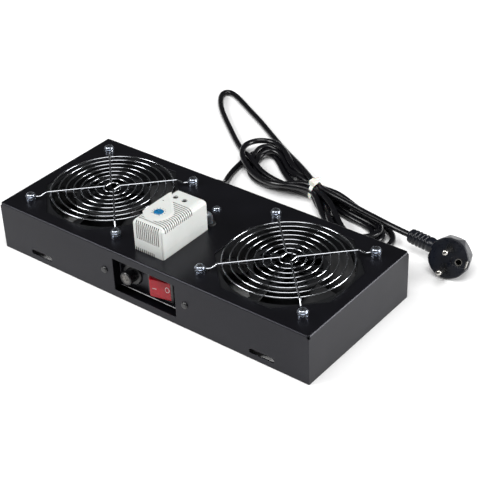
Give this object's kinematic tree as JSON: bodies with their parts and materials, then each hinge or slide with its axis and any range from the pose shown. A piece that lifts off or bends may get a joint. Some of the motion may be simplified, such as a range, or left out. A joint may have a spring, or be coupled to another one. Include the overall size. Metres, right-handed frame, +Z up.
{
  "type": "rack fan tray",
  "caption": "Shallow black sheet-metal fan tray with round axial fans under wire guards, a thermostat on top, a fused rocker switch in the front and a mains cord with plug.",
  "frame": {"origin": "centre of the tray's open underside, on the surface that the tray stands on; the cord, its tie and its plug are not counted", "axes": "+X along the long side, towards the fan on the viewer's right; +Y from the front with the switch to the back with the cord; +Z up through the guards"},
  "size_m": [0.398, 0.3582, 0.0803],
  "materials": {
    "powder_coat": "folded steel sheet with a near black, finely textured semi-gloss powder coat",
    "zinc_steel": "zinc plated steel",
    "black_steel": "black finished steel",
    "chrome_wire": "bright nickel-chrome plated steel wire",
    "fan_plastic": "dark glass filled plastic",
    "dark_steel": "laminated steel and varnished copper",
    "pale_plastic": "pale grey-white moulded plastic",
    "blue_plastic": "blue moulded plastic",
    "black_plastic": "black moulded plastic",
    "black_rubber": "black soft PVC or rubber",
    "grey_pvc": "grey translucent sheath",
    "red_rocker": "red translucent plastic",
    "brass": "brass",
    "nickel": "nickel plated brass",
    "clear_glass": "clear glass",
    "cord_pvc": "black PVC sheath",
    "plug_pvc": "black moulded PVC",
    "natural_nylon": "milky white nylon"
  },
  "bodies": {
    "tray": {"tray_shell": "powder_coat", "control_bracket": "powder_coat", "bracket_screws": "black_steel", "bracket_nuts": "zinc_steel", "fan_left_frame": "fan_plastic", "fan_left_stator": "dark_steel", "fan_left_bearings": "zinc_steel", "fan_left_guard": "chrome_wire", "fan_left_washers": "zinc_steel", "fan_left_screws": "zinc_steel", "fan_left_nuts": "zinc_steel", "fan_left_terminals": "brass", "fan_right_frame": "fan_plastic", "fan_right_stator": "dark_steel", "fan_right_bearings": "zinc_steel", "fan_right_guard": "chrome_wire", "fan_right_washers": "zinc_steel", "fan_right_screws": "zinc_steel", "fan_right_nuts": "zinc_steel", "fan_right_terminals": "brass", "thermostat_base": "pale_plastic", "thermostat_cover": "pale_plastic", "thermostat_bimetal": "brass", "thermostat_switch": "black_plastic", "thermostat_terminals": "brass", "thermostat_terminal_screws": "zinc_steel", "thermostat_fixing_screws": "zinc_steel", "wire_grommet": "black_rubber", "thermostat_cable": "grey_pvc", "switch_body": "black_plastic", "switch_terminals": "brass", "fuse_holder_body": "black_plastic", "fuse_holder_nut": "black_plastic", "fuse_terminals": "brass", "terminal_block": "pale_plastic", "terminal_screw": "zinc_steel", "terminal_lock_washer": "zinc_steel", "terminal_nut": "zinc_steel", "cord_gland": "black_rubber", "cord_lead": "cord_pvc", "cord_big_loop": "cord_pvc", "cord_plug_lead": "cord_pvc", "cord_hank": "cord_pvc", "cable_tie": "natural_nylon", "plug_body": "plug_pvc", "plug_pins": "nickel", "plug_earth_contacts": "nickel"},
    "fan_left_rotor": {"fan_left_impeller": "fan_plastic", "fan_left_shaft": "zinc_steel"},
    "fan_right_rotor": {"fan_right_impeller": "fan_plastic", "fan_right_shaft": "zinc_steel"},
    "thermostat_dial": {"thermostat_dial": "blue_plastic"},
    "switch_rocker": {"switch_rocker": "red_rocker"},
    "fuse_drawer": {"fuse_carrier": "black_plastic", "fuse_glass": "clear_glass", "fuse_end_caps": "nickel"},
    "fuse_cap": {"fuse_cap": "black_plastic", "fuse_cap_insert": "nickel"}
  },
  "joints": [
    {"name": "fan_left_spin", "type": "hinge", "parent": "tray", "child": "fan_left_rotor", "pos_m": [-0.1, 0, 0.0278], "axis": [0, 0, 1], "continuous": true},
    {"name": "fan_right_spin", "type": "hinge", "parent": "tray", "child": "fan_right_rotor", "pos_m": [0.1, 0, 0.0278], "axis": [0, 0, 1], "continuous": true},
    {"name": "thermostat_dial_turn", "type": "hinge", "parent": "tray", "child": "thermostat_dial", "pos_m": [-0.0076, -0.0386, 0.079], "axis": [0, 0, 1], "range_deg": [-135, 135]},
    {"name": "power_switch_rock", "type": "hinge", "parent": "tray", "child": "switch_rocker", "pos_m": [0.0112, -0.0595, 0.0224], "axis": [0, 0, -1], "range_deg": [0, 25]},
    {"name": "fuse_pull", "type": "slide", "parent": "tray", "child": "fuse_drawer", "axis": [0, -1, 0], "range_m": [0, 0.035]},
    {"name": "fuse_cap_twist", "type": "hinge", "parent": "fuse_drawer", "child": "fuse_cap", "pos_m": [-0.021, -0.06, 0.024], "axis": [0, -1, 0], "range_deg": [0, 60]}
  ]
}
